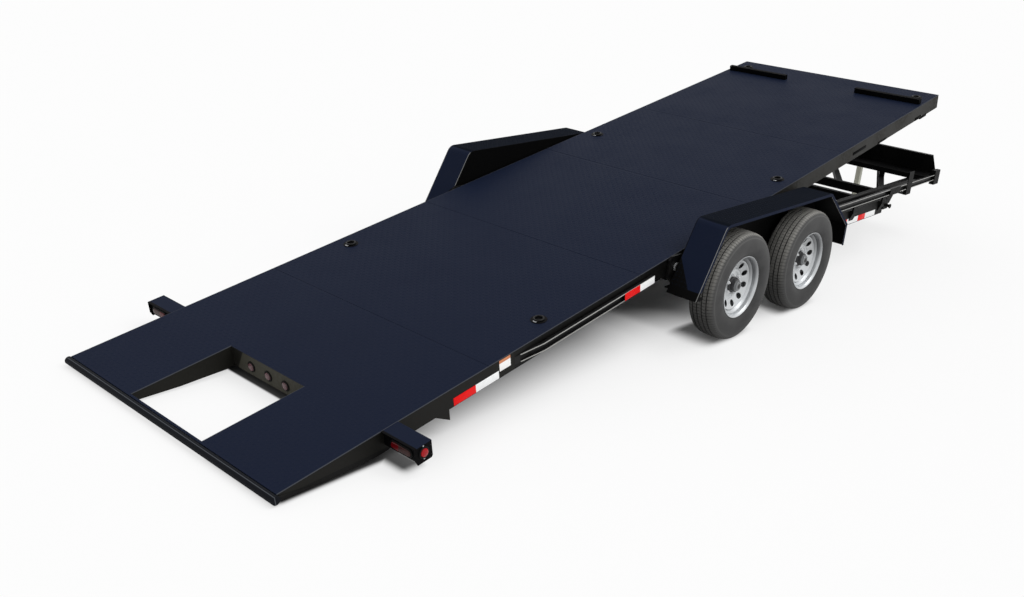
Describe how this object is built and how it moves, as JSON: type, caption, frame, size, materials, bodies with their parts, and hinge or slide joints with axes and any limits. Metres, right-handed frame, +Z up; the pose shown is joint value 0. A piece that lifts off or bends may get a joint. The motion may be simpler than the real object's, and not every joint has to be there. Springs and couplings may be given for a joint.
{
  "type": "tilt deck car trailer",
  "caption": "Tandem-axle tilt-deck car trailer with its full-length deck tipped back to the ground, black steel.",
  "frame": {"origin": "centre of the trailer's bounding box, on the ground", "axes": "+X forward to the coupler, +Y to the trailer's left, +Z up"},
  "size_m": [8.9691, 2.604, 1.3855],
  "materials": {
    "black_paint": "semi-gloss",
    "deck_paint": "semi-gloss",
    "silver_paint": "satin",
    "zinc": "satin",
    "chrome": "polished",
    "tyre": "matte",
    "lamp_red": "gloss"
  },
  "bodies": {
    "chassis": {"side_beam_right": "black_paint", "side_beam_left": "black_paint", "inner_rails": "black_paint", "chassis_crossmembers": "black_paint", "front_sill": "black_paint", "bulkhead": "black_paint", "front_rub_rails": "black_paint", "rail_brackets": "black_paint", "guide_posts": "black_paint", "fender_right": "black_paint", "fender_left": "black_paint", "fender_stays": "black_paint", "axle_front": "black_paint", "axle_rear": "black_paint", "pivot_bearings": "black_paint", "pivot_pins": "zinc", "cylinder_lugs": "black_paint", "coupler": "black_paint", "jack_plate": "black_paint", "jack_body": "black_paint", "jack_crank": "zinc", "jack_leg": "zinc"},
    "deck": {"deck_plates": "deck_paint", "deck_side_right": "black_paint", "deck_side_left": "black_paint", "deck_crossmembers": "black_paint", "tail_frame": "black_paint", "rear_bar": "black_paint", "stop_bars": "black_paint", "tie_down_pans": "black_paint", "rings_front": "zinc", "rings_middle": "zinc", "rings_rear": "zinc", "rear_rub_rails": "black_paint", "lamp_brackets": "black_paint", "tail_lamps": "lamp_red", "marker_lamps": "lamp_red", "rod_lugs": "black_paint"},
    "cylinder_barrel": {"cylinder_barrel": "black_paint"},
    "cylinder_rod": {"cylinder_rod": "chrome"},
    "wheel_front_right": {"tyre_front_right": "tyre", "rim_front_right": "silver_paint", "hub_front_right": "black_paint"},
    "wheel_front_left": {"tyre_front_left": "tyre", "rim_front_left": "silver_paint", "hub_front_left": "black_paint"},
    "wheel_rear_right": {"tyre_rear_right": "tyre", "rim_rear_right": "silver_paint", "hub_rear_right": "black_paint"},
    "wheel_rear_left": {"tyre_rear_left": "tyre", "rim_rear_left": "silver_paint", "hub_rear_left": "black_paint"}
  },
  "joints": [
    {"name": "deck_tilt", "type": "hinge", "parent": "chassis", "child": "deck", "pos_m": [-1.26383, 0, 0.56], "axis": [0, 1, 0], "range_deg": [0, 10.29]},
    {"name": "cylinder_swing", "type": "hinge", "parent": "chassis", "child": "cylinder_barrel", "pos_m": [-0.53383, 0, 0.3], "axis": [0, 1, 0], "range_deg": [0, 18.23]},
    {"name": "cylinder_stroke", "type": "slide", "parent": "cylinder_barrel", "child": "cylinder_rod", "axis": [0.8022, 0, 0.597], "range_m": [-0.10224, 0]},
    {"name": "wheel_front_right_spin", "type": "hinge", "parent": "chassis", "child": "wheel_front_right", "pos_m": [0.16667, -1.193, 0.387], "axis": [0, 1, 0], "continuous": true},
    {"name": "wheel_front_left_spin", "type": "hinge", "parent": "chassis", "child": "wheel_front_left", "pos_m": [0.16667, 1.193, 0.387], "axis": [0, 1, 0], "continuous": true},
    {"name": "wheel_rear_right_spin", "type": "hinge", "parent": "chassis", "child": "wheel_rear_right", "pos_m": [-0.79433, -1.193, 0.387], "axis": [0, 1, 0], "continuous": true},
    {"name": "wheel_rear_left_spin", "type": "hinge", "parent": "chassis", "child": "wheel_rear_left", "pos_m": [-0.79433, 1.193, 0.387], "axis": [0, 1, 0], "continuous": true}
  ],
  "couplings": [
    {"joint": "cylinder_swing", "follows": "deck_tilt", "ratio": 1.7706},
    {"joint": "cylinder_stroke", "follows": "deck_tilt", "m_per_rad": -0.56871}
  ]
}
